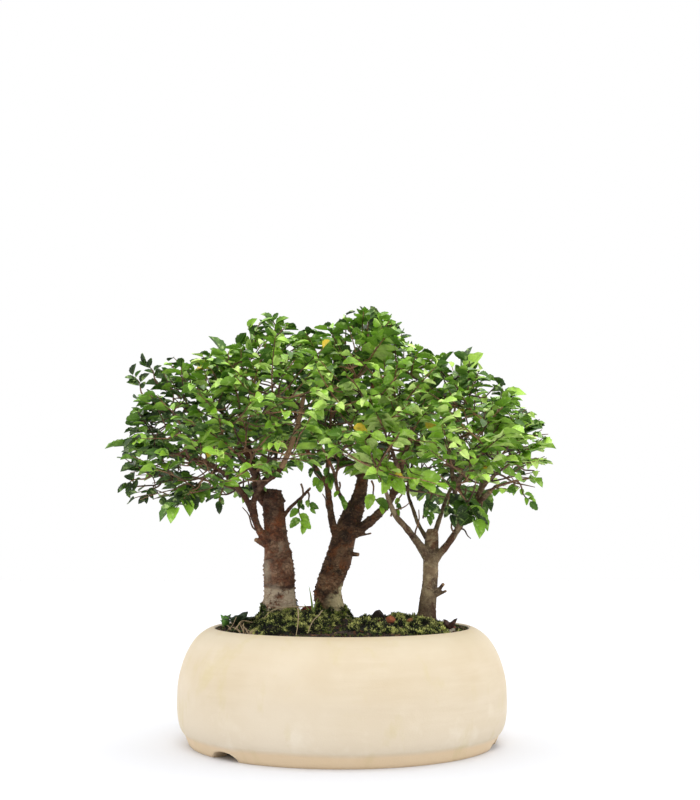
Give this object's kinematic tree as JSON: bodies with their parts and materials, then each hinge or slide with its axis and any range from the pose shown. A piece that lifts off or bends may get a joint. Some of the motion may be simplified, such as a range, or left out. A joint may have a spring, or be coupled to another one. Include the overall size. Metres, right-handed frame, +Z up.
{
  "type": "zelkova forest bonsai",
  "caption": "Small bonsai forest of leafy broadleaf trees with thick bark trunks, rooted in mossy soil in a low round incurved stoneware pot.",
  "frame": {"origin": "on the ground, at the middle of the whole part's width and depth, under the pot", "axes": "+Z up along the trunks; -Y towards the viewer of the front; +X to the viewer's right"},
  "size_m": [0.334, 0.25, 0.3324],
  "materials": {
    "stoneware": "unglazed, cream",
    "screen_plastic": "dark",
    "soil": "moist, crumbly",
    "moss": "deep green",
    "grit_red": "porous grain",
    "grit_dark": "bark chunk",
    "grit_pale": "grain",
    "grass": "green blade",
    "bark": "rough brown bark",
    "bark_smooth": "grey-brown bark",
    "leaf": "satin green"
  },
  "bodies": {
    "root": {"pot": "stoneware", "drain_screen": "screen_plastic", "soil": "soil", "moss_left": "moss", "moss_right": "moss", "pebble_red_front": "grit_red", "pebble_orange": "grit_red", "pebble_red_middle": "grit_red", "pebble_dark": "grit_dark", "pebble_red_right": "grit_red", "pebble_pale": "grit_pale", "grass_tuft": "grass", "wood_left": "bark", "wood_middle": "bark", "wood_right": "bark_smooth", "spray_left_01": "leaf", "spray_left_02": "leaf", "spray_left_03": "leaf", "spray_left_04": "leaf", "spray_left_05": "leaf", "spray_left_06": "leaf", "spray_left_07": "leaf", "spray_middle_08": "leaf", "spray_middle_09": "leaf", "spray_middle_10": "leaf", "spray_middle_11": "leaf", "spray_middle_12": "leaf", "spray_middle_13": "leaf", "spray_middle_14": "leaf", "spray_middle_15": "leaf", "spray_middle_16": "leaf", "spray_right_17": "leaf", "spray_right_18": "leaf", "spray_right_19": "leaf", "spray_right_20": "leaf", "spray_right_21": "leaf", "spray_right_22": "leaf", "spray_right_23": "leaf", "spray_right_24": "leaf", "spray_right_26": "leaf", "spray_left_27": "leaf", "spray_left_28": "leaf", "spray_right_29": "leaf", "spray_middle_30": "leaf", "spray_middle_31": "leaf", "spray_middle_32": "leaf", "spray_left_33": "leaf", "spray_left_34": "leaf", "spray_middle_35": "leaf", "spray_left_36": "leaf", "spray_right_37": "leaf", "spray_middle_38": "leaf", "spray_middle_39": "leaf", "spray_left_40": "leaf", "spray_left_41": "leaf", "spray_left_42": "leaf", "spray_middle_43": "leaf", "spray_right_44": "leaf", "spray_left_45": "leaf", "spray_middle_46": "leaf"}
  },
  "joints": []
}
